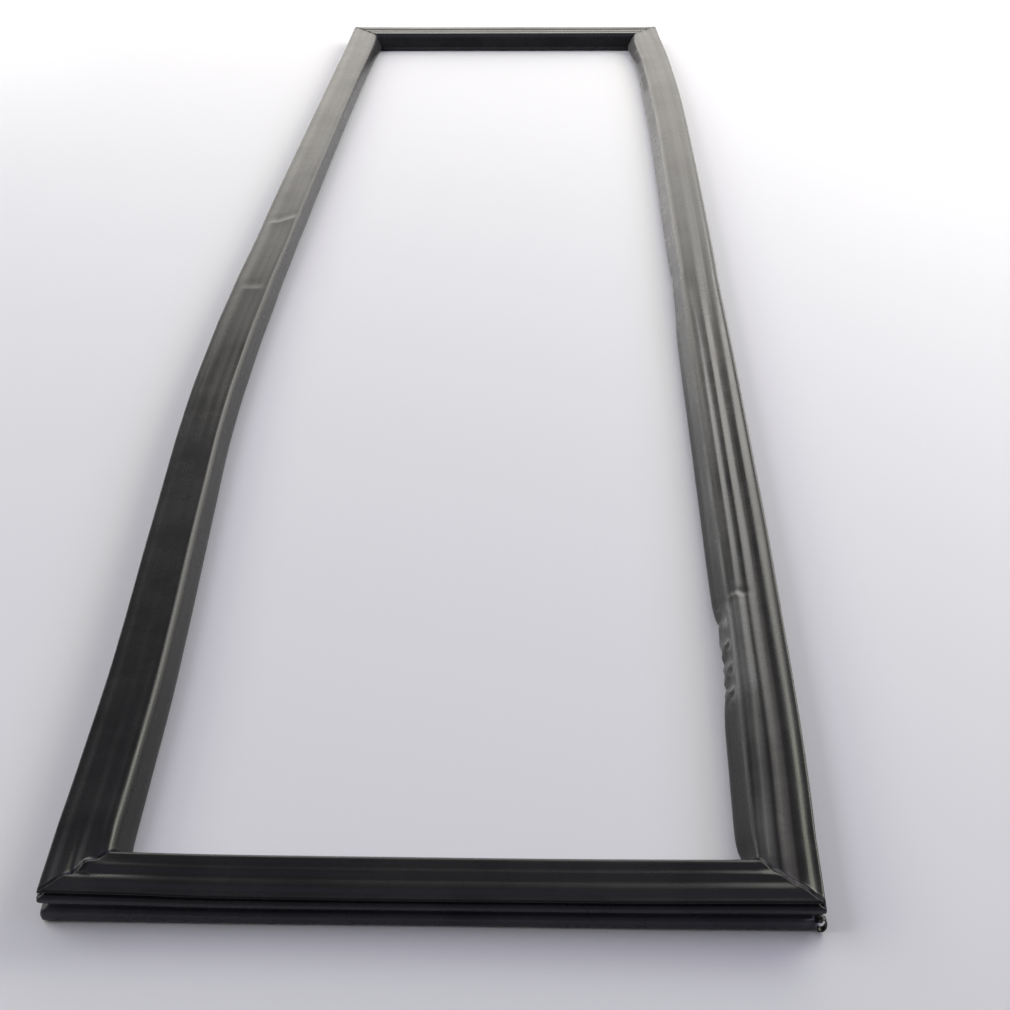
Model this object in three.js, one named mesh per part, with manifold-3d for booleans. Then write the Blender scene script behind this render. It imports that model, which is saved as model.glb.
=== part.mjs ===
// Refrigerator door gasket: a black flexible PVC profile, cut into four lengths, mitred and
// hot-plate welded into one closed frame, with a flexible magnet strip inside each length.
// It lies face up: the sealing face with its two ridges is on top, the foot is on the surface.
//
// Millimetres, +Z up. +Y runs along the long sides, -Y is the near short side.
// Origin: centre of the bounding box in plan, at the level of the foot.
import * as THREE from "three";
import Module from "manifold-3d";

const wasm = await Module();
wasm.setup();

// ---------------------------------------------------------------- driving dimensions
const FRAME_LENGTH = 1473; // outside length, corner to corner along the long sides
const NEAR_LEFT_X = -190.5; // outer edge of the near left corner, 381 mm frame width
const NEAR_RIGHT_X = 190.5;
const FAR_LEFT_X = -190.0;
const FAR_RIGHT_X = 188.9;
const FOOT_WIDTH = 37.5; // nominal width of the section, outermost fold to inner foot edge
const INNER_RIDGE_U = 30.5; // inset of the inner ridge from the outermost fold
const RIDGE_HEIGHT = 20; // height of the outer ridge over the foot
const MAGNET_CLEARANCE = 0.3; // between the magnet strip and its pocket, all round
const POCKET = { u0: 9.8, u1: 19.2, z0: 13.7, z1: 16.7 }; // magnet pocket in the section
const MAGNET_END = 0.5; // where a magnet ends, as a share of the way from mitre to first station
const VENT = { x: 188.0, z: 3.8, rx: 1.0, rz: 1.9 }; // open curl of the base fold, near right corner
const SPLIT = { width: 1.4, z0: 3.0, z1: 10.5 }; // split in the weld, inner foot of the near left corner

// ---------------------------------------------------------------- the section
// Each point is [u, z]: u is the inset from the outermost fold towards the window, z the height.
// The outer wall, from the inner foot along the underside, up the folds of the bellows,
// over the sealing face and down the inner wall.
const OUTER = [
  [37.2, 0],
  [20, 0],
  [2.2, 0],
  [0.8, 0.7],
  [0.15, 2.4],
  [0.15, 4.6],
  [0.9, 6.5],
  [2.3, 7.6], // base fold
  [4.3, 8.3],
  [4.6, 9.4],
  [3.6, 10.4], // recess under the middle fold
  [1.0, 11.0],
  [0.0, 12.3],
  [0.1, 14.1],
  [1.3, 15.3], // middle fold
  [4.4, 15.8],
  [4.6, 16.8],
  [2.6, 17.2], // recess under the face lip
  [1.2, 17.4],
  [0.9, 18.2],
  [1.8, 18.9], // edge of the face lip
  [3.6, 18.6],
  [7.0, 19.3],
  [8.6, RIDGE_HEIGHT - 0.1],
  [9.6, RIDGE_HEIGHT],
  [10.8, 19.4], // outer ridge
  [12.6, 18.1],
  [14.6, 17.6],
  [17.0, 18.0], // channel over the magnet
  [18.6, 18.7],
  [19.8, 18.7],
  [21.0, 18.1], // middle ridge
  [22.3, 17.2],
  [23.8, 17.4], // groove
  [27.2, 18.6],
  [29.4, 19.4],
  [INNER_RIDGE_U, 19.4],
  [31.4, 18.6], // inner ridge
  [32.0, 16.8],
  [33.4, 11.4],
  [35.0, 5.8],
  [36.6, 1.8],
  [FOOT_WIDTH, 0.8], // inner foot
];
// The hollow of the bellows, one wall thickness inside the outer wall and below the pocket.
const CHAMBER = [
  [35.7, 1.2],
  [2.6, 1.2],
  [1.4, 2.7],
  [1.4, 4.3],
  [2.0, 5.8],
  [3.2, 6.7],
  [5.4, 7.5],
  [5.9, 9.4],
  [5.2, 11.2],
  [1.9, 12.0],
  [1.2, 13.2],
  [2.0, 14.3],
  [5.4, 14.8],
  [5.9, 16.9],
  [8.5, 18.3],
  [8.8, 12.5],
  [20.2, 12.5],
  [20.3, 16.9],
  [22.2, 16.0],
  [24.2, 16.2],
  [29.3, 18.1],
  [30.4, 17.5],
  [32.2, 11.2],
  [33.8, 5.6],
];
const POCKET_SECTION = [
  [POCKET.u0, POCKET.z0],
  [POCKET.u0, POCKET.z1],
  [POCKET.u1, POCKET.z1],
  [POCKET.u1, POCKET.z0],
];
const c = MAGNET_CLEARANCE;
const MAGNET_SECTION = [
  [POCKET.u0 + c, POCKET.z0 + c],
  [POCKET.u0 + c, POCKET.z1 - c],
  [POCKET.u1 - c, POCKET.z1 - c],
  [POCKET.u1 - c, POCKET.z0 + c],
];

// ---------------------------------------------------------------- the route
// Long sides as they lie: [y, x of the outermost fold, width of the foot]. Both sides bow
// outwards. The left one has two kinks, at y 700 and 835, beyond which its foot is tucked under.
// The right one has its inner foot crumpled at y 170-260 and rolled away at y 640-810.
const LEFT = [
  [42, -192.2, 36.2],
  [100, -193.8, 35.6],
  [160, -195.4, 35.2],
  [230, -198.8, 35.0],
  [300, -203.0, 35.1],
  [380, -207.4, 34.6],
  [460, -211.5, 34.2],
  [540, -213.7, 34.5],
  [620, -214.1, 34.5],
  [690, -212.9, 34.2],
  [715, -212.5, 33.8],
  [780, -210.3, 32.6],
  [830, -209.0, 32.2],
  [860, -208.5, 32.8],
  [960, -205.7, 32.4],
  [1070, -202.3, 31.9],
  [1190, -198.5, 31.7],
  [1310, -194.7, 32.6],
  [1390, -192.0, 34.5],
  [1430, -190.9, 36.5],
];
const RIGHT = [
  [42, 191.6, 38.2],
  [90, 194.0, 39.6],
  [140, 195.8, 39.8],
  [165, 196.4, 38.6],
  [190, 196.9, 37.4],
  [215, 197.3, 37.0],
  [235, 197.7, 37.2],
  [265, 198.3, 39.6],
  [330, 199.4, 40.6],
  [430, 200.2, 40.6],
  [540, 201.0, 40.8],
  [620, 201.3, 40.4],
  [680, 201.2, 38.2],
  [725, 201.4, 37.6],
  [750, 201.8, 36.7],
  [765, 202.0, 38.0],
  [880, 202.7, 39.2],
  [1010, 202.9, 38.7],
  [1130, 202.6, 38.3],
  [1230, 201.2, 38.4],
  [1300, 198.8, 36.8],
  [1360, 196.2, 36.4],
  [1400, 193.4, 37.4],
  [1430, 191.2, 37.9],
];
// Short sides: [x, height factor, width of the foot]. The near one sags a little in the middle.
const NEAR = [
  [-148, 1.0, 37.5],
  [-50, 0.96, 37.7],
  [60, 0.95, 37.7],
  [148, 0.99, 37.6],
];
const FAR = [
  [147, 1.0, 38.2],
  [0, 0.99, 38.6],
  [-148, 1.0, 38.0],
];

// The foot's inner edge moves with its width, the inner ridge keeps its place.
function inset(u, z, width) {
  const share =
    Math.max(0, 1 - z / 19) * Math.min(1, Math.max(0, (u - 22) / 8));
  return u + (width - FOOT_WIDTH) * share;
}
// The weld holds a corner a little higher at its outer edge.
function lifted(u, z, lift) {
  return z * (1 + lift * (1 - u / 45));
}
const mitre = (x, y, sx, sy, lift) => (u, z) => [
  x + sx * u,
  y + sy * u,
  lifted(u, z, lift),
];
const sideAt = (x, y, sx, width) => (u, z) => [
  x + sx * inset(u, z, width),
  y,
  z,
];
const endAt = (x, y, sy, factor, width) => (u, z) => [
  x,
  y + sy * inset(u, z, width),
  z * factor,
];
const corner = {
  nearRight: mitre(NEAR_RIGHT_X, 0, -1, 1, 0.045),
  farRight: mitre(FAR_RIGHT_X, FRAME_LENGTH, -1, -1, 0.02),
  farLeft: mitre(FAR_LEFT_X, FRAME_LENGTH, 1, -1, 0.02),
  nearLeft: mitre(NEAR_LEFT_X, 0, 1, 1, 0.12),
};
const near = NEAR.map(([x, f, w]) => endAt(x, 0, 1, f, w));
const right = RIGHT.map(([y, x, w]) => sideAt(x, y, -1, w));
const far = FAR.map(([x, f, w]) => endAt(x, FRAME_LENGTH, -1, f, w));
const left = [...LEFT].reverse().map(([y, x, w]) => sideAt(x, y, 1, w));
const route = [
  corner.nearLeft,
  ...near,
  corner.nearRight,
  ...right,
  corner.farRight,
  ...far,
  corner.farLeft,
  ...left,
];

// ---------------------------------------------------------------- solids
function signedVolume(points, triangles) {
  const a = new THREE.Vector3();
  const b = new THREE.Vector3();
  const d = new THREE.Vector3();
  let total = 0;
  for (let i = 0; i < triangles.length; i += 3) {
    a.fromArray(points, 3 * triangles[i]);
    b.fromArray(points, 3 * triangles[i + 1]);
    d.fromArray(points, 3 * triangles[i + 2]);
    total += a.dot(b.cross(d)) / 6;
  }
  return total;
}
function toSolid(points, triangles) {
  const tri =
    signedVolume(points, triangles) < 0 ? [...triangles].reverse() : triangles;
  return new wasm.Manifold(
    new wasm.Mesh({
      numProp: 3,
      vertProperties: new Float32Array(points),
      triVerts: new Uint32Array(tri),
    }),
  );
}
// A section carried along stations: a closed ring, or a length with flat ends.
function sweep(section, stations, ring) {
  const n = section.length;
  const m = stations.length;
  const points = [];
  const triangles = [];
  for (const place of stations)
    for (const [u, z] of section) points.push(...place(u, z));
  const spans = ring ? m : m - 1;
  for (let s = 0; s < spans; s++)
    for (let i = 0; i < n; i++) {
      const j = (i + 1) % n;
      const a = s * n + i;
      const b = s * n + j;
      const p = ((s + 1) % m) * n + i;
      const q = ((s + 1) % m) * n + j;
      triangles.push(a, b, q, a, q, p);
    }
  if (!ring)
    for (let i = 1; i < n - 1; i++) {
      triangles.push(0, i + 1, i);
      triangles.push((m - 1) * n, (m - 1) * n + i, (m - 1) * n + i + 1);
    }
  return toSolid(points, triangles);
}
// A three.js geometry as a solid, its seams closed by merging equal positions.
function solidOf(geometry) {
  const p = geometry.getAttribute("position");
  const index = geometry.index
    ? Array.from(geometry.index.array)
    : Array.from({ length: p.count }, (_, i) => i);
  const seen = new Map();
  const points = [];
  const to = [];
  for (let i = 0; i < p.count; i++) {
    const key = [p.getX(i), p.getY(i), p.getZ(i)]
      .map((v) => v.toFixed(4))
      .join();
    if (!seen.has(key)) {
      seen.set(key, points.length / 3);
      points.push(p.getX(i), p.getY(i), p.getZ(i));
    }
    to.push(seen.get(key));
  }
  const triangles = [];
  for (let i = 0; i < index.length; i += 3) {
    const [a, b, d] = [to[index[i]], to[index[i + 1]], to[index[i + 2]]];
    if (a !== b && b !== d && a !== d) triangles.push(a, b, d);
  }
  return toSolid(points, triangles);
}
// A share of the way from one station to the next.
const between = (from, to, share) => (u, z) => {
  const a = from(u, z);
  const b = to(u, z);
  return a.map((v, i) => v + (b[i] - v) * share);
};

// The welded frame: outer wall less the bellows hollow and the magnet pocket.
let frameSolid = sweep(OUTER, route, true)
  .subtract(sweep(CHAMBER, route, true))
  .subtract(sweep(POCKET_SECTION, route, true));

// At each corner the pocket floor ends at the weld, so the pocket meets the hollow below it.
const pocketMiddle = (POCKET.u0 + POCKET.u1) / 2;
for (const place of Object.values(corner)) {
  const [x, y, z] = place(pocketMiddle, 13.2);
  const box = new THREE.BoxGeometry(4, 4, 3);
  box.translate(x, y, z);
  frameSolid = frameSolid.subtract(solidOf(box));
}
// The base fold is left open at the near right corner, as a small curl.
const curl = new THREE.CylinderGeometry(1, 1, 8, 10);
curl.scale(VENT.rx, 1, VENT.rz);
curl.translate(VENT.x, 0, VENT.z);
frameSolid = frameSolid.subtract(solidOf(curl));
// The weld has a split in the inner wall of the near left corner.
const split = new THREE.BoxGeometry(10, SPLIT.width, SPLIT.z1 - SPLIT.z0);
split.rotateZ(Math.PI / 4);
const [splitX, splitY] = corner.nearLeft(35.5, 0);
split.translate(splitX, splitY, (SPLIT.z0 + SPLIT.z1) / 2);
frameSolid = frameSolid.subtract(solidOf(split));

// The four magnet strips, each short of the mitres at its ends.
function magnet(stations) {
  const last = stations.length - 1;
  const inner = stations.slice(1, last);
  return sweep(
    MAGNET_SECTION,
    [
      between(stations[1], stations[0], MAGNET_END),
      ...inner,
      between(stations[last - 1], stations[last], MAGNET_END),
    ],
    false,
  );
}
const magnetSolids = {
  magnet_strip_near: magnet([corner.nearLeft, ...near, corner.nearRight]),
  magnet_strip_right: magnet([corner.nearRight, ...right, corner.farRight]),
  magnet_strip_far: magnet([corner.farRight, ...far, corner.farLeft]),
  magnet_strip_left: magnet([corner.farLeft, ...left, corner.nearLeft]),
};

// ---------------------------------------------------------------- the scene graph
const blackVinyl = new THREE.MeshStandardMaterial({
  color: 0x1b1b1c,
  roughness: 0.38,
  metalness: 0,
});
const magnetRubber = new THREE.MeshStandardMaterial({
  color: 0x2b2724,
  roughness: 0.8,
  metalness: 0,
});

function meshOf(name, solid, material) {
  const made = solid.getMesh();
  const positions = new Float32Array(made.numVert * 3);
  for (let i = 0; i < made.numVert; i++)
    for (let k = 0; k < 3; k++)
      positions[3 * i + k] = made.vertProperties[made.numProp * i + k];
  const geometry = new THREE.BufferGeometry();
  geometry.setAttribute("position", new THREE.BufferAttribute(positions, 3));
  geometry.setIndex(new THREE.BufferAttribute(made.triVerts, 1));
  geometry.computeVertexNormals();
  const mesh = new THREE.Mesh(geometry, material);
  mesh.name = name;
  return mesh;
}

const gasket = new THREE.Group();
gasket.name = "refrigerator_door_gasket";
const frameMesh = meshOf("gasket_frame", frameSolid, blackVinyl);
gasket.add(frameMesh);
for (const [name, solid] of Object.entries(magnetSolids))
  gasket.add(meshOf(name, solid, magnetRubber));

// The group is placed so that the origin is under the middle of the bounding box.
frameMesh.geometry.computeBoundingBox();
const bounds = frameMesh.geometry.boundingBox;
gasket.position.set(
  -(bounds.min.x + bounds.max.x) / 2,
  -(bounds.min.y + bounds.max.y) / 2,
  -bounds.min.z,
);

export default gasket;
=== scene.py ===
import math

import bmesh
import bpy
import numpy as np
from mathutils import Matrix, Vector


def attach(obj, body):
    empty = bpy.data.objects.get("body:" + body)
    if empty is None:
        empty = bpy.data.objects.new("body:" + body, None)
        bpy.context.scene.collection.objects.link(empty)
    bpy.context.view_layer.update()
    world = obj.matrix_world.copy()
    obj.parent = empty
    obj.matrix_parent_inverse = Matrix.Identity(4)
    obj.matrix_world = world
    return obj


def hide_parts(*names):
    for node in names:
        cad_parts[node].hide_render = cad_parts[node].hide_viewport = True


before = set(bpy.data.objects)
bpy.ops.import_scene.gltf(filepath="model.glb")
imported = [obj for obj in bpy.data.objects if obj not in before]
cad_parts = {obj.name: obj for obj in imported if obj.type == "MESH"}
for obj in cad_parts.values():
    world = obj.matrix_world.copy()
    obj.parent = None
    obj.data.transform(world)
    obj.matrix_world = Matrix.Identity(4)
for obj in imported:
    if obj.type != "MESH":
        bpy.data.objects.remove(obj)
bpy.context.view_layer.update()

# ------------------------------------------------------------------ the gasket's route, in mm
# Plan frame: near left corner region at x -190, y 0; OFFSET brings it to the part's own frame.
LENGTH = 1472.6
OFFSET = np.array([5.6, -736.5, 0.0])
FOOT = 37.5

# [distance along the side, x of the outermost fold, width of the foot]
LEFT = [
    [0, -190.4, 37.3], [42, -192.2, 36.2], [100, -193.8, 35.6], [160, -195.4, 35.2], [230, -198.8, 35.0],
    [300, -203.0, 35.1], [380, -207.4, 34.6], [460, -211.5, 34.2], [540, -213.7, 34.5], [620, -214.0, 34.5],
    [690, -212.9, 34.2], [715, -212.5, 33.8], [780, -210.3, 32.6], [830, -209.0, 32.2], [860, -208.5, 32.8],
    [960, -205.7, 32.4], [1070, -202.3, 31.9], [1190, -198.5, 31.7], [1310, -194.7, 32.6], [1390, -192.0, 34.5],
    [1430, -190.9, 36.5], [1473, -189.9, 37.5],
]
RIGHT = [
    [0, 190.4, 34.0], [38, 191.5, 34.4], [46, 191.8, 36.6], [56, 192.3, 38.6], [90, 194.0, 39.6], [140, 195.8, 39.8], [165, 196.4, 38.6],
    [190, 196.9, 37.4], [215, 197.3, 37.0], [235, 197.7, 37.2], [265, 198.3, 39.6], [330, 199.4, 40.6],
    [430, 200.2, 40.6], [540, 201.0, 40.8], [620, 201.3, 40.4], [680, 201.2, 38.2], [725, 201.4, 37.6],
    [750, 201.8, 36.7], [765, 202.0, 38.0], [880, 202.7, 39.2], [1010, 202.9, 38.7], [1130, 202.6, 38.3],
    [1230, 201.2, 38.4], [1300, 198.8, 36.8], [1360, 196.2, 36.4], [1400, 193.4, 37.4], [1430, 191.2, 37.9],
    [1473, 188.8, 37.6],
]


def smooth_table(rows, column):
    """A smooth curve through the rows of a table, without overshoot (monotone cubic)."""
    x = np.array([r[0] for r in rows], float)
    y = np.array([r[column] for r in rows], float)
    h = np.diff(x)
    d = np.diff(y) / h
    m = np.zeros_like(y)
    m[0], m[-1] = d[0], d[-1]
    for i in range(1, len(y) - 1):
        if d[i - 1] * d[i] > 0:
            w1, w2 = 2 * h[i] + h[i - 1], h[i] + 2 * h[i - 1]
            m[i] = (w1 + w2) / (w1 / d[i - 1] + w2 / d[i])

    def at(s):
        s = np.clip(s, x[0], x[-1])
        i = np.clip(np.searchsorted(x, s) - 1, 0, len(x) - 2)
        t = (s - x[i]) / h[i]
        return (
            (1 + 2 * t) * (1 - t) ** 2 * y[i]
            + t * (1 - t) ** 2 * h[i] * m[i]
            + t * t * (3 - 2 * t) * y[i + 1]
            + t * t * (t - 1) * h[i] * m[i + 1]
        )

    return at


left_x, left_w = smooth_table(LEFT, 1), smooth_table(LEFT, 2)
right_x, right_w = smooth_table(RIGHT, 1), smooth_table(RIGHT, 2)

# ------------------------------------------------------------------ the section, in mm
# [u, z]: inset from the outermost fold towards the window, and height. "s" marks a sharp point.
SECTION = [
    [37.2, 0.0, "s"], [28.0, 0.0], [16.0, 0.0], [2.4, 0.0, "s"],
    [0.9, 0.6], [0.2, 2.3], [0.15, 4.4], [0.8, 6.4], [2.0, 7.4], [3.3, 8.0], [3.8, 9.0], [3.2, 10.1],
    [1.3, 10.9], [0.2, 12.2], [0.1, 14.0], [1.0, 15.2], [2.8, 15.75], [3.3, 16.35], [2.9, 16.95],
    [1.5, 17.25], [0.95, 17.85], [1.05, 18.45], [1.9, 18.85], [3.3, 18.75], [4.8, 18.8], [6.4, 19.1],
    [7.8, 19.35], [9.2, 19.4], [10.8, 19.2], [12.4, 18.85], [13.8, 18.55], [15.2, 18.5], [16.8, 18.65],
    [18.4, 18.85], [19.8, 18.9], [21.2, 18.65], [22.6, 18.45], [24.4, 18.5], [26.2, 18.75],
    [27.6, 18.7], [28.9, 18.35], [30.2, 17.65], [31.4, 16.65], [32.7, 15.25], [34.1, 13.2], [35.5, 11.0],
    [36.6, 9.3],
    [37.4, 8.0], [38.3, 6.1], [38.7, 4.6], [38.6, 3.1], [38.0, 1.7], [37.5, 0.6, "s"],
]


def dense_section():
    pts = [np.array(p[:2], float) for p in SECTION]
    sharp = [len(p) > 2 for p in SECTION]
    n = len(pts)
    out, arc = [], []
    for i in range(n):
        a, b = pts[i], pts[(i + 1) % n]
        before = a - (b - a) if sharp[i] else pts[i - 1]
        after = b + (b - a) if sharp[(i + 1) % n] else pts[(i + 2) % n]
        length = np.linalg.norm(b - a)
        flat = a[1] == 0 and b[1] == 0
        steps = 1 if flat or length < 0.75 else max(2, int(round(length / 1.0)))
        steps = min(steps, 4)
        m0, m1 = (b - before) / 2, (after - a) / 2
        cap = 1.2 * length
        m0 *= min(1, cap / max(1e-9, np.linalg.norm(m0)))
        m1 *= min(1, cap / max(1e-9, np.linalg.norm(m1)))
        for k in range(steps):
            t = k / steps
            p = (
                (1 + 2 * t) * (1 - t) ** 2 * a + t * (1 - t) ** 2 * m0
                + t * t * (3 - 2 * t) * b + t * t * (t - 1) * m1
            )
            out.append(p)
    out = np.array(out)
    step = np.linalg.norm(np.roll(out, -1, axis=0) - out, axis=1)
    return out, np.concatenate([[0], np.cumsum(step)])


PROFILE, ARC = dense_section()
U, Z = PROFILE[:, 0], PROFILE[:, 1]
NP = len(U)

# ------------------------------------------------------------------ what the years did to it
rng = np.random.default_rng(11)


def wave_set(count, low, high):
    return [(rng.uniform(low, high), rng.uniform(0, 2 * math.pi), rng.uniform(0.5, 1)) for _ in range(count)]


def wave(s, terms):
    return sum(a * np.sin(s * f + p) for f, p, a in terms) / len(terms)


WAVES = {side: [wave_set(6, 0.006, 0.05) for _ in range(4)] for side in ("near", "right", "far", "left")}
CRUMPLE = [wave_set(7, 0.12, 0.5) for _ in range(3)]


def bump(x, centre, width):
    return np.exp(-(((x - centre) / width) ** 2))


def step01(x, a, b):
    t = np.clip((x - a) / (b - a), 0, 1)
    return t * t * (3 - 2 * t)


def deform(side, s, u, z, width):
    """The section's points (u, z) at distance s along a side, as they lie: arrays in, arrays out."""
    total = 381.0 if side in ("near", "far") else LENGTH
    ends = np.clip(np.minimum(s, total - s) / 60.0, 0, 1)  # 0 at the welds
    ends = ends * ends * (3 - 2 * ends)
    top = np.clip((z - 9) / 9, 0, 1)
    share = np.maximum(0, 1 - z / 19) * np.clip((u - 22) / 8, 0, 1)
    u2 = u + (width - FOOT) * share
    z2 = z.copy()
    w = WAVES[side]
    # slow waves of a soft extrusion that has been stored folded
    z2 += ends * top * (0.28 * wave(s, w[0]) + 0.22 * wave(s, w[1]) * np.cos(u / 9))
    u2 += ends * 0.35 * wave(s, w[2]) * np.clip(1 - u / 12, 0, 1) * (1 - top)
    z2 += ends * 0.5 * wave(s, w[3]) * bump(z, 12.5, 3) * np.clip(1 - u / 6, 0, 1)
    foot = share  # the inner wall, most at the foot
    if side == "left":
        # two kinks across the sealing face: a long rise towards the far end, a short fall behind it
        for at, lean, height, lo, hi in ((838, 0.95, 0.40, 4, 30), (694, 0.15, 0.27, 6, 26)):
            line = at - 3 + lean * np.maximum(u - 14, 0)
            over = step01(u, lo, lo + 6) * (1 - step01(u, hi - 4, hi + 2)) * top
            d = s - line
            rise = np.where(d < 0, np.exp(d / 13.0), np.exp(-((d / 5.2) ** 2)))
            z2 += over * height * rise
            z2 -= over * 0.45 * height * bump(d, 12, 8)
        # the face is rolled a little outwards beyond the kinks
        roll = step01(s, 690, 850) * (1 - step01(s, 1330, 1440))
        z2 += roll * top * (u - 16) * 0.018
        # and pressed to one broad crown there
        crown = 18.6 + 0.8 * bump(u, 12.5, 5.5) + 0.12 * bump(u, 21.0, 2.0) - 0.9 * np.clip((u - 23) / 8, 0, 1) ** 2
        z2 += 0.8 * step01(s, 400, 660) * ends * step01(z, 17.4, 18.4) * step01(u, 3.5, 6.5) * (crown - z)
    if side == "right":
        # crumpled foot between 150 and 262: the edge is folded up in lumps
        zone = step01(s, 146, 166) * (1 - step01(s, 238, 262))
        c = CRUMPLE
        low = np.clip((u - 33.5) / 3.5, 0, 1)
        lumps = 0.0
        for at, size, high in ((168, 5.5, 2.6), (189, 6.5, 3.4), (212, 6.0, 2.8), (234, 8.0, 1.8)):
            lumps = lumps + high * bump(s, at, size)
        z2 += zone * low * lumps * np.clip(z / 2.5, 0, 1) * (1 - np.clip((z - 12) / 6, 0, 1))
        u2 -= zone * low * 0.22 * lumps * (1 - np.clip((z - 3) / 6, 0, 1))
        u2 += zone * low * 0.6 * wave(s + 2.5 * z, c[0])
        # three short pits where the edge is pinched in
        pits = bump(s, 178, 3.0) + 1.15 * bump(s, 201.5, 2.8) + 1.1 * bump(s, 243, 3.6)
        u2 -= zone * low * 2.6 * pits * np.clip(1.2 - z / 14, 0, 1)
        # the inner band swells next to it, with a short fold at its far end
        swell = step01(s, 118, 175) * (1 - step01(s, 246, 256))
        z2 += swell * (0.75 * bump(u, 25.0, 4.2) - 0.30 * bump(u, 31.0, 2.5)) * top
        z2 += 0.55 * bump(s, 252, 2.2) * bump(u, 26.5, 5.5) * top
        z2 -= 0.5 * bump(s, 257.5, 2.8) * bump(u, 24, 4.0) * top
        # the foot is rolled away under the wall at 640-810
        away = step01(s, 640, 700) * (1 - step01(s, 748, 764))
        z2 += away * foot * 1.1 * np.clip(z / 2.0, 0, 1)
        u2 -= away * foot * 0.6
        # shallow dent in the face beyond it
        z2 -= 0.45 * bump(s, 700, 30) * bump(u, 26, 5) * top
        # the far half of the face is pressed to one broad crown beside a narrow groove
        crown = 18.72 + 0.42 * bump(u, 19, 6) + 0.2 * bump(u, 5, 2.5) - 0.22 * bump(u, 10.8, 1.8)
        crown -= 0.8 * np.clip((u - 25) / 7, 0, 1) ** 2
        z2 += 0.8 * step01(s, 420, 760) * ends * step01(z, 17.4, 18.4) * step01(u, 3.5, 6.5) * (crown - z)
        # gentle S bend near the far weld
        z2 += 0.4 * bump(s, 1335, 26) * top * np.clip((u - 14) / 16, 0, 1)
    if side == "near":
        # its ridges are worn a little flatter, and it hangs a little between its welds
        flat = 0.3 * ends * step01(z, 17.6, 18.6) * step01(u, 3.5, 6)
        z2 += flat * (18.78 - z2)
        z2 *= 1 - 0.052 * np.sin(np.pi * np.clip((s - 30) / (total - 60), 0, 1)) ** 0.8 if 30 < s < total - 30 else 1
    return u2, np.maximum(z2, np.minimum(z, 0.0))


LIFT = {"near_left": 0.115, "near_right": 0.04, "far_right": 0.02, "far_left": 0.02}


def corner_effect(name, d, u, z):
    """The weld: a narrow groove on the mitre with a bead on each side, the corner held high."""
    lift = LIFT[name] * math.exp(-((d / 42.0) ** 2))
    top = np.clip((z - 9) / 9, 0, 1)
    z2 = z * (1 + lift * (1 - u / 45))
    seam = -0.85 * math.exp(-((d / 0.75) ** 2)) + 0.28 * math.exp(-(((d - 1.9) / 0.8) ** 2))
    seam_side = 0.45 * math.exp(-((d / 0.75) ** 2))
    z2 = z2 + seam * top * (0.75 + 0.25 * np.sin(u * 1.7 + len(name)))
    u2 = u + seam_side * (1 - top) * np.where(u < 8, 1, np.where(u > 30, -1, 0)) * np.clip(z / 2, 0, 1)
    if name == "near_left":
        # flash squeezed out of the weld over the channel, and the pinched channel beside it
        z2 = z2 + 1.5 * bump(u, 20.6, 2.3) * math.exp(-((d / 2.2) ** 2)) - 1.3 * bump(u, 26.5, 3.0) * math.exp(-((d / 5.0) ** 2))
        z2 = z2 - 1.2 * bump(u, 15.0, 2.2) * math.exp(-((d / 6.0) ** 2))
    if name == "near_right":
        z2 = z2 - 0.9 * bump(u, 22.5, 5.0) * math.exp(-((d / 3.5) ** 2)) * top
        # the base fold stops short of the corner and leaves its curl open
        back = math.exp(-((d / 3.2) ** 4))
        fold = np.clip(1 - u / 5.0, 0, 1) * np.clip((8.6 - z) / 2.0, 0, 1)
        u2 = u2 + back * fold * 4.6
    return u2, z2


# ------------------------------------------------------------------ stations
def spaced(a, b, zones, coarse):
    """Stations from a to b, closer together inside the zones [lo, hi, spacing]."""
    out, s = [a], a
    while s < b - 1e-6:
        gap = coarse
        for lo, hi, fine in zones:
            if lo - 6 <= s <= hi:
                gap = min(gap, fine)
        s = min(b, s + gap)
        if b - s < gap * 0.4:
            s = b
        out.append(s)
    return out


NEAR_MITRE = [0.0, 0.3, 0.7, 1.2, 1.9, 2.8, 4.2]
START = 50.0

SIDES = {
    # name: corner before, corner after, length, zones, coarse spacing
    "near": ("near_left", "near_right", 381.0, [], 5.5),
    "right": ("near_right", "far_right", LENGTH, [(148, 272, 2.2), (640, 770, 3.5), (1300, 1400, 5.0)], 7.0),
    "far": ("far_right", "far_left", 381.0, [], 8.0),
    "left": ("far_left", "near_left", LENGTH, [(676, 712, 1.5), (814, 862, 1.5)], 7.0),
}


def place(side, s, u, z):
    """Plan position for distance s along a side. s is x from the left corner, or y."""
    if side == "near":
        x, y = s - 190.4, u
    elif side == "far":
        x, y = s - 190.4, LENGTH - u
    elif side == "left":
        x, y = left_x(s) + u, np.full_like(u, s) if np.isscalar(s) else s
    else:
        x, y = right_x(s) - u, np.full_like(u, s) if np.isscalar(s) else s
    return np.stack([np.broadcast_to(x, u.shape), np.broadcast_to(y, u.shape), z], axis=1)


def section_at(side, s_of_u, d_first, d_last, first, last):
    """All points of the section: s_of_u is one distance, or one for each point near a mitre."""
    s_mean = float(np.mean(s_of_u))
    width = FOOT
    if side == "left":
        width = float(left_w(s_mean))
    elif side == "right":
        width = float(right_w(s_mean))
    else:
        width = 37.6 if side == "near" else 38.2
    u, z = deform(side, s_mean, U, Z, width)
    if d_first < 130:
        u, z = corner_effect(first, d_first, u, z)
    if d_last < 130:
        u, z = corner_effect(last, d_last, u, z)
    return np.maximum(u, 0.02), np.maximum(z, 0.0)


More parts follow.
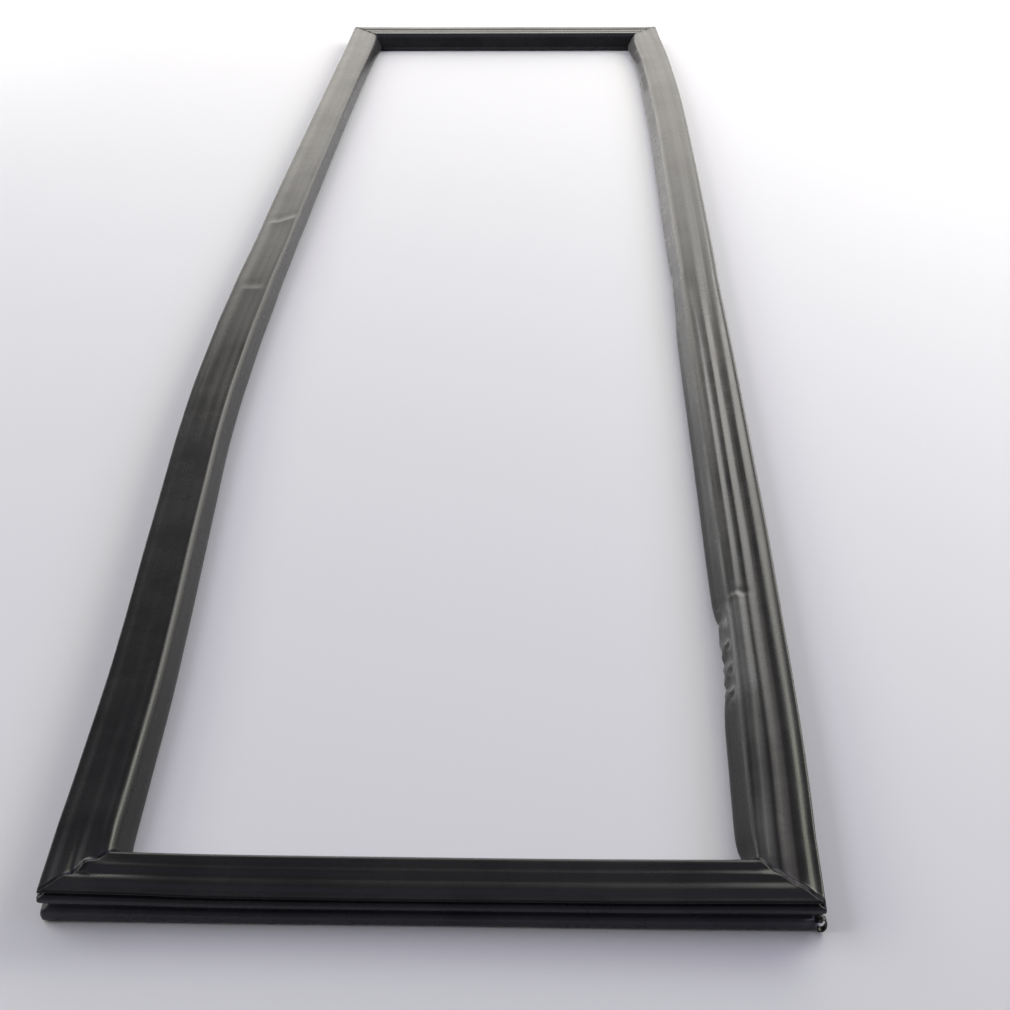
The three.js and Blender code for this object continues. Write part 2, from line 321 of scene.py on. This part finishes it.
def mitre_point(corner, u):
    """Plan position on the mitre for each inset u, the same for the two sides that meet there."""
    if corner == "near_left":
        return np.stack([left_x(u) + u, u], axis=1)
    if corner == "near_right":
        return np.stack([right_x(u) - u, u], axis=1)
    if corner == "far_right":
        return np.stack([right_x(LENGTH - u) - u, LENGTH - u], axis=1)
    return np.stack([left_x(LENGTH - u) + u, LENGTH - u], axis=1)


def build_rows():
    """Rows of points round the frame: near side, right, far, left, each from mitre to mitre."""
    rows, tags = [], []
    for side, (first, last, total, zones, coarse) in SIDES.items():
        forward = side in ("near", "right")
        lo, hi = START, total - START
        body = spaced(lo, hi, zones, coarse)
        stations = []  # (kind, value): m = distance from first mitre, l = blend, s = plain, n = from last mitre
        for d in NEAR_MITRE:
            stations.append(("m", d))
        for t in (0.25, 0.5, 0.75):
            stations.append(("ml", t))
        for s in body if forward else body[::-1]:
            stations.append(("s", s))
        for t in (0.75, 0.5, 0.25):
            stations.append(("nl", t))
        for d in NEAR_MITRE[:0:-1]:
            stations.append(("n", d))

        def towards(s_from_start):
            return s_from_start if forward else total - s_from_start

        def row(kind, value):
            if kind in ("m", "n"):
                corner = first if kind == "m" else last
                d = value
                near_first = d if kind == "m" else 999
                near_last = d if kind == "n" else 999
                base = towards(d + 19) if kind == "m" else towards(total - d - 19)
                u, z = section_at(side, base, near_first, near_last, first, last)
                xy = mitre_point(corner, u)
                # move along the side, away from the mitre
                if side in ("near", "far"):
                    sign = 1 if corner.endswith("left") else -1
                    xy = xy + np.array([[sign * d, 0]])
                else:
                    sign = 1 if corner.startswith("near") else -1
                    y = xy[:, 1] + sign * d
                    x = (left_x(y) + u) if side == "left" else (right_x(y) - u)
                    xy = np.stack([x, y], axis=1)
                return np.concatenate([xy, z[:, None]], axis=1), towards(d) if kind == "m" else towards(total - d)
            if kind == "s":
                s = value
                d1 = s if forward else total - s
                d2 = total - d1
                u, z = section_at(side, s, max(d1 - 19, 0), max(d2 - 19, 0), first, last)
                if side in ("near", "far"):
                    start_x = -190.4
                    pts = np.stack([np.full_like(u, s + start_x), u if side == "near" else LENGTH - u, z], axis=1)
                else:
                    x = (left_x(s) + u) if side == "left" else (right_x(s) - u)
                    pts = np.stack([x, np.full_like(u, s), z], axis=1)
                return pts, s
            # blend rows between the last mitre row and the first plain row
            a, sa = row("m" if kind == "ml" else "n", NEAR_MITRE[-1])
            edge = towards(START) if kind == "ml" else towards(total - START)
            b, sb = row("s", edge)
            t = value
            return a + (b - a) * t, sa + (sb - sa) * t

        for kind, value in stations:
            pts, s = row(kind, value)
            rows.append(pts)
            tags.append((side, s))
    return rows, tags


rows, tags = build_rows()
NR = len(rows)
points = (np.concatenate(rows) + OFFSET) / 1000.0

mesh = bpy.data.meshes.new("gasket_frame_skin")
faces = []
for r in range(NR):
    a, b = r * NP, ((r + 1) % NR) * NP
    for i in range(NP):
        j = (i + 1) % NP
        faces.append((a + i, a + j, b + j, b + i))


def curl():
    """The open end of the base fold at the near right corner: a thin wall curled round a gap."""
    path = np.array([[187.0, 7.4], [188.4, 8.1], [189.9, 7.9], [190.75, 6.6], [191.0, 4.6], [190.85, 2.6],
                     [190.1, 1.0], [188.8, 0.35], [187.2, 0.9]])
    fine = []
    for i in range(len(path) - 1):
        p0, p1 = path[max(i - 1, 0)], path[i]
        p2, p3 = path[i + 1], path[min(i + 2, len(path) - 1)]
        for t in (0, 0.25, 0.5, 0.75):
            fine.append(0.5 * (2 * p1 + (p2 - p0) * t + (2 * p0 - 5 * p1 + 4 * p2 - p3) * t ** 2
                               + (3 * p1 - p0 - 3 * p2 + p3) * t ** 3))
    fine = np.array(fine + [path[-1]])
    way = np.gradient(fine, axis=0)
    side = np.stack([way[:, 1], -way[:, 0]], axis=1) / np.linalg.norm(way, axis=1)[:, None]
    ring = np.concatenate([fine + 0.28 * side, (fine - 0.28 * side)[::-1]])
    n, m = len(ring), len(fine)
    pts = np.concatenate([np.stack([ring[:, 0], np.full(n, y), ring[:, 1]], axis=1) for y in (0.25, 0.6, 2.0, 3.6)])
    quads = []
    for k in range(3):
        for i in range(n):
            j = (i + 1) % n
            quads.append((k * n + i, k * n + j, (k + 1) * n + j, (k + 1) * n + i))
    for i in range(m - 1):
        quads.append((i, n - 1 - i, n - 2 - i, i + 1))
        quads.append((3 * n + i, 3 * n + i + 1, 3 * n + n - 2 - i, 3 * n + n - 1 - i))
    return (pts + OFFSET) / 1000.0, quads


extra, quads = curl()
faces += [tuple(v + len(points) for v in q) for q in quads]
points = np.concatenate([points, extra])
mesh.from_pydata([tuple(p) for p in points], [], faces)
uv = mesh.uv_layers.new(name="UVMap")
start = {"near": 0.0, "right": 381.0, "far": 381.0 + LENGTH, "left": 762.0 + LENGTH}
vals = np.zeros((len(faces) * 4, 2))
k = 0
for r in range(NR):
    side, s0 = tags[r]
    side1, s1 = tags[(r + 1) % NR]
    total = 381.0 if side in ("near", "far") else LENGTH
    if side1 != side:
        s1 = total if side in ("near", "right") else 0.0
    if side in ("far", "left"):
        v0, v1 = start[side] + total - s0, start[side] + total - s1
    else:
        v0, v1 = start[side] + s0, start[side] + s1
    for i in range(NP):
        a0, a1 = ARC[i] / 1000.0, ARC[i + 1] / 1000.0
        vals[k : k + 4] = ((a0, v0 / 1000.0), (a1, v0 / 1000.0), (a1, v1 / 1000.0), (a0, v1 / 1000.0))
        k += 4
uv.data.foreach_set("uv", vals.ravel())


def gloss_and_painted_sheen(side, s):
    """For each point of the section: how glossy the skin is, and the painted sheen (painted reflections and
    highlights) added to its colour.
    """
    gloss = np.ones(NP)
    painted_sheen = np.zeros((NP, 3))
    wall = step01(U, 29.4, 32.2) * (1 - step01(Z, 15.6, 18.4))
    face = step01(Z, 17.6, 18.3) * (1 - wall)
    front = (1 - step01(U, 3.2, 5.0)) * (1 - step01(Z, 16.4, 17.2))
    if side in ("left", "right"):
        beyond = step01(s, 430, 880)
        gloss -= wall * (0.56 - (0.30 if side == "left" else 0.56) * beyond)
        # painted reflection: the inner wall made paler in colour from 430 to 880 on, much more on the right side
        # than on the left
        painted_sheen += np.outer(wall * beyond * (0.02 if side == "left" else 0.13), (1.0, 0.98, 0.98))
    if side == "right":
        close = 1 - step01(s, 560, 840)
        channel = step01(U, 11.6, 13.6) * (1 - step01(U, 18.0, 20.4))
        band = step01(U, 20.4, 23.0) * (1 - step01(U, 28.6, 31.0))
        # painted reflection on the near part of the right face: the channel lightened brownish and the inner band
        # grey
        painted_sheen += np.outer(face * close * channel * 0.052, (1.0, 0.91, 0.87))
        painted_sheen += np.outer(face * close * band * 0.040, (1.0, 0.99, 0.97))
        # painted highlight: the swollen inner band and its wall lightened in colour over the crumpled stretch
        swell = step01(s, 150, 172) * (1 - step01(s, 244, 256))
        painted_sheen += np.outer(swell * (0.040 * wall + 0.045 * band), (1.0, 0.99, 0.98))
        gloss += swell * wall * 0.3
    if side == "near":
        gloss -= 0.42 * (1 - front)
        # painted bluish reflection on the front folds, standing in for a light above and in front of the gasket
        painted_sheen += np.outer(front * (0.55 + 0.45 * (1 - step01(Z, 8, 9))) * 0.024, (0.92, 0.86, 1.25))
    return gloss, painted_sheen


state = [gloss_and_painted_sheen(side, s) for side, s in tags]
spare = len(points) - NR * NP
gloss = mesh.attributes.new("gloss", "FLOAT", "POINT")
gloss.data.foreach_set("value", np.concatenate([g for g, _ in state] + [np.ones(spare)]))
painted_sheen = mesh.attributes.new("painted_sheen", "FLOAT_VECTOR", "POINT")
# the curl gets an even painted sheen of 0.02, like the front folds beside it
painted_sheen.data.foreach_set("vector", np.concatenate([h for _, h in state] + [np.full((spare, 3), 0.02)]).ravel())

bm = bmesh.new()
bm.from_mesh(mesh)
bmesh.ops.recalc_face_normals(bm, faces=bm.faces)
for f in bm.faces:
    f.smooth = True
bm.to_mesh(mesh)
bm.free()
skin = bpy.data.objects.new("gasket_frame_skin", mesh)
bpy.context.collection.objects.link(skin)


# ------------------------------------------------------------------ materials
def new_material(name):
    m = bpy.data.materials.new(name)
    m.use_nodes = True
    nt = m.node_tree
    for n in list(nt.nodes):
        nt.nodes.remove(n)
    out = nt.nodes.new("ShaderNodeOutputMaterial")
    bsdf = nt.nodes.new("ShaderNodeBsdfPrincipled")
    nt.links.new(bsdf.outputs["BSDF"], out.inputs["Surface"])
    return m, nt, bsdf


def node(nt, kind, **settings):
    n = nt.nodes.new(kind)
    for key, value in settings.items():
        if key in n.inputs:
            n.inputs[key].default_value = value
        else:
            setattr(n, key, value)
    return n


def black_vinyl():
    m, nt, bsdf = new_material("black_vinyl_look")
    link = nt.links.new
    uvn = node(nt, "ShaderNodeUVMap", uv_map="UVMap")
    obj = node(nt, "ShaderNodeTexCoord")

    def mapped(source, scale):
        mp = node(nt, "ShaderNodeMapping")
        mp.inputs["Scale"].default_value = scale
        link(source, mp.inputs["Vector"])
        return mp.outputs["Vector"]

    # die lines along the extrusion
    fine = node(nt, "ShaderNodeTexNoise", Scale=1.0, Detail=3.0, Roughness=0.6)
    link(mapped(uvn.outputs["UV"], (900, 6, 1)), fine.inputs["Vector"])
    broad = node(nt, "ShaderNodeTexNoise", Scale=1.0, Detail=2.0, Roughness=0.5)
    link(mapped(uvn.outputs["UV"], (190, 5, 1)), broad.inputs["Vector"])
    # skin grain and slow smudges
    grain = node(nt, "ShaderNodeTexNoise", Scale=2600.0, Detail=3.0, Roughness=0.6)
    link(obj.outputs["Object"], grain.inputs["Vector"])
    smudge = node(nt, "ShaderNodeTexNoise", Scale=22.0, Detail=5.0, Roughness=0.62)
    link(obj.outputs["Object"], smudge.inputs["Vector"])
    specks = node(nt, "ShaderNodeTexVoronoi", Scale=240.0)
    link(obj.outputs["Object"], specks.inputs["Vector"])

    colour = node(nt, "ShaderNodeValToRGB")
    e = colour.color_ramp.elements
    e[0].position, e[0].color = 0.30, (0.0105, 0.0105, 0.0115, 1)
    e[1].position, e[1].color = 0.72, (0.0175, 0.0168, 0.0175, 1)
    link(smudge.outputs["Fac"], colour.inputs["Fac"])
    dust_mask = node(nt, "ShaderNodeMapRange")
    dust_mask.inputs["From Min"].default_value = 0.0
    dust_mask.inputs["From Max"].default_value = 0.06
    dust_mask.inputs["To Min"].default_value = 0.25
    dust_mask.inputs["To Max"].default_value = 0.0
    link(specks.outputs["Distance"], dust_mask.inputs["Value"])
    dust = node(nt, "ShaderNodeMix", data_type="RGBA")
    dust.inputs["B"].default_value = (0.10, 0.098, 0.095, 1)
    link(colour.outputs["Color"], dust.inputs["A"])
    link(dust_mask.outputs["Result"], dust.inputs["Factor"])
    # painted sheen from the mesh attribute, varied by the smudge noise and added to the base colour
    painted_sheen = node(nt, "ShaderNodeAttribute", attribute_name="painted_sheen")
    patch = node(nt, "ShaderNodeMapRange")
    patch.inputs["From Min"].default_value = 0.3
    patch.inputs["From Max"].default_value = 0.7
    patch.inputs["To Min"].default_value = 0.72
    patch.inputs["To Max"].default_value = 1.28
    link(smudge.outputs["Fac"], patch.inputs["Value"])
    scaled = node(nt, "ShaderNodeVectorMath", operation="SCALE")
    link(painted_sheen.outputs["Vector"], scaled.inputs[0])
    link(patch.outputs["Result"], scaled.inputs["Scale"])
    total = node(nt, "ShaderNodeVectorMath", operation="ADD")
    link(dust.outputs["Result"], total.inputs[0])
    link(scaled.outputs["Vector"], total.inputs[1])
    link(total.outputs["Vector"], bsdf.inputs["Base Color"])
    gloss = node(nt, "ShaderNodeAttribute", attribute_name="gloss")
    level = node(nt, "ShaderNodeMath", operation="MULTIPLY")
    link(gloss.outputs["Fac"], level.inputs[0])
    level.inputs[1].default_value = 0.5
    link(level.outputs["Value"], bsdf.inputs["Specular IOR Level"])

    rough = node(nt, "ShaderNodeMapRange")
    rough.inputs["From Min"].default_value = 0.3
    rough.inputs["From Max"].default_value = 0.7
    rough.inputs["To Min"].default_value = 0.19
    rough.inputs["To Max"].default_value = 0.29
    link(smudge.outputs["Fac"], rough.inputs["Value"])
    add = node(nt, "ShaderNodeMath", operation="MULTIPLY_ADD")
    link(fine.outputs["Fac"], add.inputs[0])
    add.inputs[1].default_value = 0.06
    link(rough.outputs["Result"], add.inputs[2])
    link(add.outputs["Value"], bsdf.inputs["Roughness"])

    b1 = node(nt, "ShaderNodeBump", Strength=0.22, Distance=0.00010)
    link(fine.outputs["Fac"], b1.inputs["Height"])
    b2 = node(nt, "ShaderNodeBump", Strength=0.35, Distance=0.0002)
    link(broad.outputs["Fac"], b2.inputs["Height"])
    link(b1.outputs["Normal"], b2.inputs["Normal"])
    b3 = node(nt, "ShaderNodeBump", Strength=0.10, Distance=0.00003)
    link(grain.outputs["Fac"], b3.inputs["Height"])
    link(b2.outputs["Normal"], b3.inputs["Normal"])
    link(b3.outputs["Normal"], bsdf.inputs["Normal"])
    bsdf.inputs["IOR"].default_value = 1.38
    return m


def magnet_rubber():
    m, nt, bsdf = new_material("magnet_rubber_look")
    link = nt.links.new
    obj = node(nt, "ShaderNodeTexCoord")
    n1 = node(nt, "ShaderNodeTexNoise", Scale=900.0, Detail=4.0, Roughness=0.65)
    link(obj.outputs["Object"], n1.inputs["Vector"])
    colour = node(nt, "ShaderNodeValToRGB")
    e = colour.color_ramp.elements
    e[0].position, e[0].color = 0.3, (0.020, 0.017, 0.014, 1)
    e[1].position, e[1].color = 0.7, (0.042, 0.036, 0.030, 1)
    link(n1.outputs["Fac"], colour.inputs["Fac"])
    link(colour.outputs["Color"], bsdf.inputs["Base Color"])
    b = node(nt, "ShaderNodeBump", Strength=0.4, Distance=0.0001)
    link(n1.outputs["Fac"], b.inputs["Height"])
    link(b.outputs["Normal"], bsdf.inputs["Normal"])
    bsdf.inputs["Roughness"].default_value = 0.78
    return m


vinyl = black_vinyl()
ferrite = magnet_rubber()
mesh.materials.append(vinyl)
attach(skin, "root")
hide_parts("gasket_frame")

for name in ("magnet_strip_near", "magnet_strip_right", "magnet_strip_far", "magnet_strip_left"):
    o = bpy.data.objects[name]
    if not o.material_slots:
        o.data.materials.append(ferrite)
    for slot in o.material_slots:
        slot.material = ferrite

# ------------------------------------------------------------------ floor, light, camera
floor_mesh = bpy.data.meshes.new("floor")
floor_mesh.from_pydata([(-9, -9, 0), (9, -9, 0), (9, 9, 0), (-9, 9, 0)], [], [(0, 1, 2, 3)])
floor = bpy.data.objects.new("floor", floor_mesh)
floor.location.z = -0.0003
bpy.context.collection.objects.link(floor)
fm, fnt, fb = new_material("floor_paper")
fb.inputs["Base Color"].default_value = (0.80, 0.80, 0.825, 1)
fb.inputs["Roughness"].default_value = 0.5
floor_mesh.materials.append(fm)

world = bpy.data.worlds.new("studio")
bpy.context.scene.world = world
world.use_nodes = True
bg = world.node_tree.nodes["Background"]
bg.inputs["Color"].default_value = (1, 1, 1, 1)
bg.inputs["Strength"].default_value = 0.12


def soft_box(name, at, to, size, radiance):
    data = bpy.data.lights.new(name, "AREA")
    data.shape = "RECTANGLE"
    data.size, data.size_y = size
    peak = max(radiance)
    data.energy = math.pi * size[0] * size[1] * peak
    data.color = [c / peak for c in radiance]
    o = bpy.data.objects.new(name, data)
    o.location = at
    o.rotation_euler = (Vector(to) - Vector(at)).to_track_quat("-Z", "Y").to_euler()
    bpy.context.collection.objects.link(o)


soft_box("back", (0.55, 1.55, 0.40), (0.55, 0.0, 0.33), (2.7, 0.78), (2.2, 2.12, 1.98))
soft_box("backside", (-1.7, 1.55, 0.18), (-1.7, 0.0, 0.14), (1.8, 0.32), (4.5, 4.5, 4.4))
soft_box("backright", (1.05, 1.75, 1.20), (0.2, -0.3, 0.0), (1.2, 0.8), (3.9, 3.85, 3.65))
soft_box("window", (1.95, 1.35, 1.60), (0.2, -0.3, 0.0), (1.3, 1.0), (6.4, 6.5, 5.2))
soft_box("left", (-2.4, -0.1, 1.15), (0.0, 0.0, 0.0), (3.0, 0.8), (3.0, 3.1, 2.6))
soft_box("right", (2.4, -0.1, 1.15), (0.0, 0.0, 0.0), (3.0, 0.8), (2.1, 2.0, 2.9))
soft_box("leftmid", (-1.9, 0.0, 2.1), (0.0, 0.0, 0.0), (2.8, 1.1), (2.4, 2.35, 2.65))
soft_box("top", (0.0, 0.3, 2.6), (0.0, 0.1, 0.0), (2.0, 1.6), (0.42, 0.40, 0.62))

bpy.context.scene.view_settings.view_transform = "Standard"

# camera: found from the photograph's edges, in the part's frame
F_PX, PITCH, YAW, ROLL = 1602.83, 0.565353, -0.0306619, 0.010482
CAM = (np.array([55.193, -545.340, 589.298]) + OFFSET) / 1000.0
cp, sp, cy, sy = math.cos(PITCH), math.sin(PITCH), math.cos(YAW), math.sin(YAW)
forward = Vector((sy * cp, cy * cp, -sp))
level = Vector((cy, -sy, 0.0))
down = forward.cross(level)
right_axis = math.cos(ROLL) * level + math.sin(ROLL) * down
down_axis = -math.sin(ROLL) * level + math.cos(ROLL) * down
cam_data = bpy.data.cameras.new("camera")
cam_data.sensor_fit = "HORIZONTAL"
cam_data.sensor_width = 36.0
cam_data.lens = 36.0 * F_PX / 1010.0
cam_data.clip_start, cam_data.clip_end = 0.02, 60
camera = bpy.data.objects.new("camera", cam_data)
up, back = -down_axis, -forward
camera.matrix_world = Matrix((
    (right_axis.x, up.x, back.x, CAM[0]),
    (right_axis.y, up.y, back.y, CAM[1]),
    (right_axis.z, up.z, back.z, CAM[2]),
    (0, 0, 0, 1),
))
bpy.context.collection.objects.link(camera)
bpy.context.scene.camera = camera
